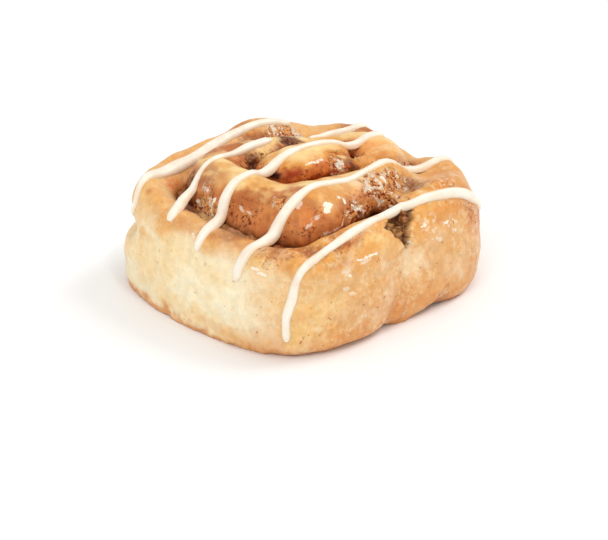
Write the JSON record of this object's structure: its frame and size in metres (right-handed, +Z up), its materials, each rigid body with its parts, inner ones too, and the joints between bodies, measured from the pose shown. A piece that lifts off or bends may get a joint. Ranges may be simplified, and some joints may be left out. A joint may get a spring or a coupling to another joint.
{
  "type": "cinnamon roll",
  "caption": "Square pull-apart cinnamon roll: a strip of soft dough wound round a dark cinnamon filling, with straight lines of white icing over the top",
  "frame": {"origin": "centre of the bounding box in plan, on the surface the roll stands on", "axes": "+Z up; the icing lines run along Y; the corner at +X -Y is the one nearest in the picture; the strip's outer end is on the +X side"},
  "size_m": [0.0862, 0.0884, 0.0418],
  "materials": {
    "dough": "baked dough, cream to golden brown, partly glazed",
    "cinnamon_filling": "dark sticky cinnamon sugar"
  },
  "bodies": {
    "root": {"dough": "dough", "cinnamon_filling": "cinnamon_filling"}
  },
  "joints": []
}
